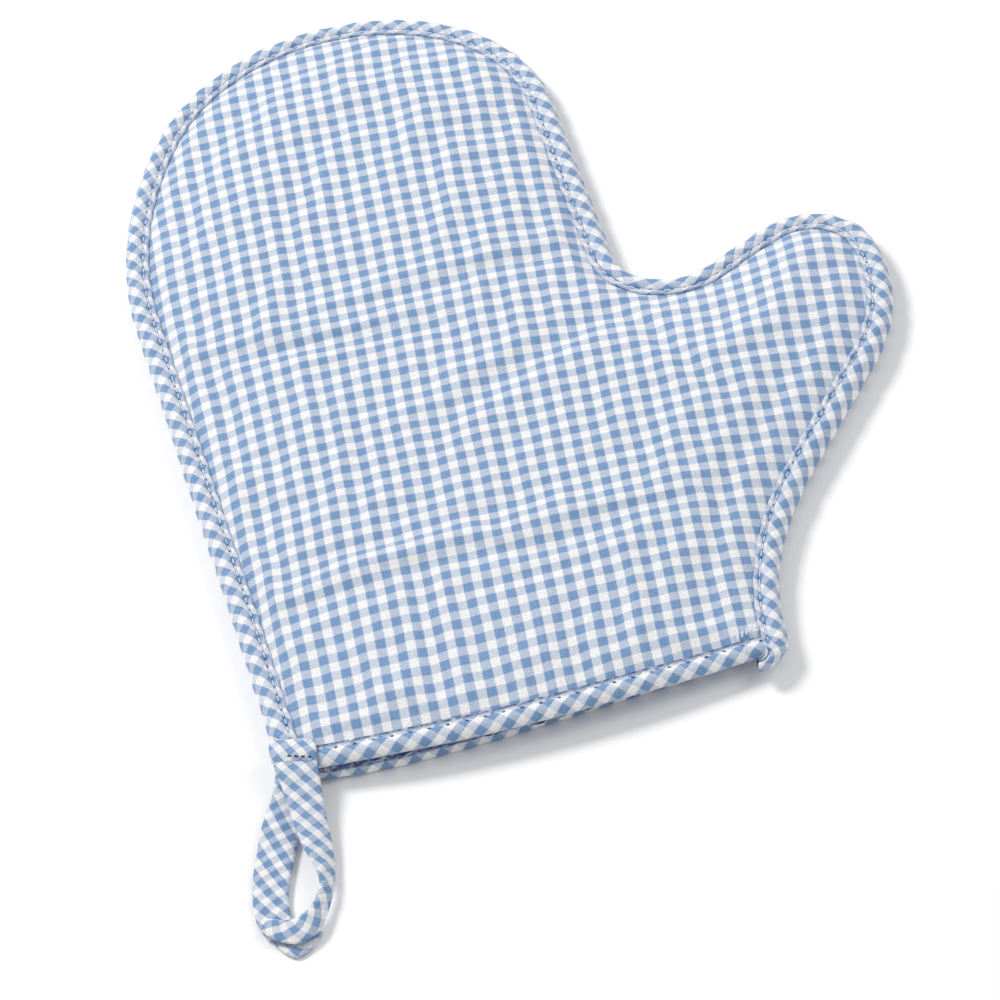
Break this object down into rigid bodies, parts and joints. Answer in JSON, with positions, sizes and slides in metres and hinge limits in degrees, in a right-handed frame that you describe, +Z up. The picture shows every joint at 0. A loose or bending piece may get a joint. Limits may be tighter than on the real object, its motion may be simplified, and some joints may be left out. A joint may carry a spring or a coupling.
{
  "type": "oven mitt",
  "caption": "Quilted gingham oven mitt with thumb, bound rim and cuff, open mouth and a hanging loop; fingers, thumb and loop flex.",
  "frame": {"origin": "on the surface that the mitt lies on, under the centre of its bounding box, hanging loop included", "axes": "+X across the mitt towards the thumb, +Y from the cuff to the fingertips, +Z up out of the palm side; the back panel lies on the surface"},
  "size_m": [0.251, 0.4141, 0.0172],
  "materials": {
    "gingham_cloth": "matt woven cotton, blue and white mini gingham",
    "bias_tape": "matt woven cotton gingham cut on the bias",
    "lining_cloth": "matt plain white cotton",
    "wadding": "needled cotton and polyester wadding",
    "sewing_thread": "spun sewing thread, slight sheen"
  },
  "bodies": {
    "hand": {"front_shell_hand": "gingham_cloth", "front_wadding_hand": "wadding", "front_lining_hand": "lining_cloth", "back_lining_hand": "lining_cloth", "back_wadding_hand": "wadding", "back_shell_hand": "gingham_cloth", "perimeter_binding_hand": "bias_tape", "front_topstitch_hand": "sewing_thread", "back_topstitch_hand": "sewing_thread", "front_cuff_binding": "bias_tape", "back_cuff_binding": "bias_tape", "front_cuff_stitching": "sewing_thread", "back_cuff_stitching": "sewing_thread", "loop_anchor": "bias_tape", "loop_tack_stitches": "sewing_thread", "corner_backtack": "sewing_thread"},
    "fingers": {"front_shell_fingers": "gingham_cloth", "front_wadding_fingers": "wadding", "front_lining_fingers": "lining_cloth", "back_lining_fingers": "lining_cloth", "back_wadding_fingers": "wadding", "back_shell_fingers": "gingham_cloth", "perimeter_binding_fingers": "bias_tape", "front_topstitch_fingers": "sewing_thread", "back_topstitch_fingers": "sewing_thread"},
    "thumb": {"front_shell_thumb": "gingham_cloth", "front_wadding_thumb": "wadding", "front_lining_thumb": "lining_cloth", "back_lining_thumb": "lining_cloth", "back_wadding_thumb": "wadding", "back_shell_thumb": "gingham_cloth", "perimeter_binding_thumb": "bias_tape", "front_topstitch_thumb": "sewing_thread", "back_topstitch_thumb": "sewing_thread"},
    "loop": {"hanging_loop": "bias_tape"}
  },
  "joints": [
    {"name": "finger_fold", "type": "hinge", "parent": "hand", "child": "fingers", "pos_m": [-0.045, 0.0854, 0.0176], "axis": [1, 0, 0], "range_deg": [0, 80], "stiffness_Nm_per_rad": 0.015},
    {"name": "thumb_fold", "type": "hinge", "parent": "hand", "child": "thumb", "pos_m": [0.054, 0.0474, 0.0176], "axis": [0.2164, -0.9763, 0], "range_deg": [0, 65], "stiffness_Nm_per_rad": 0.008},
    {"name": "loop_swing", "type": "hinge", "parent": "hand", "child": "loop", "pos_m": [-0.098, -0.1353, 0.002], "axis": [-1, 0, 0], "range_deg": [-90, 90]}
  ]
}
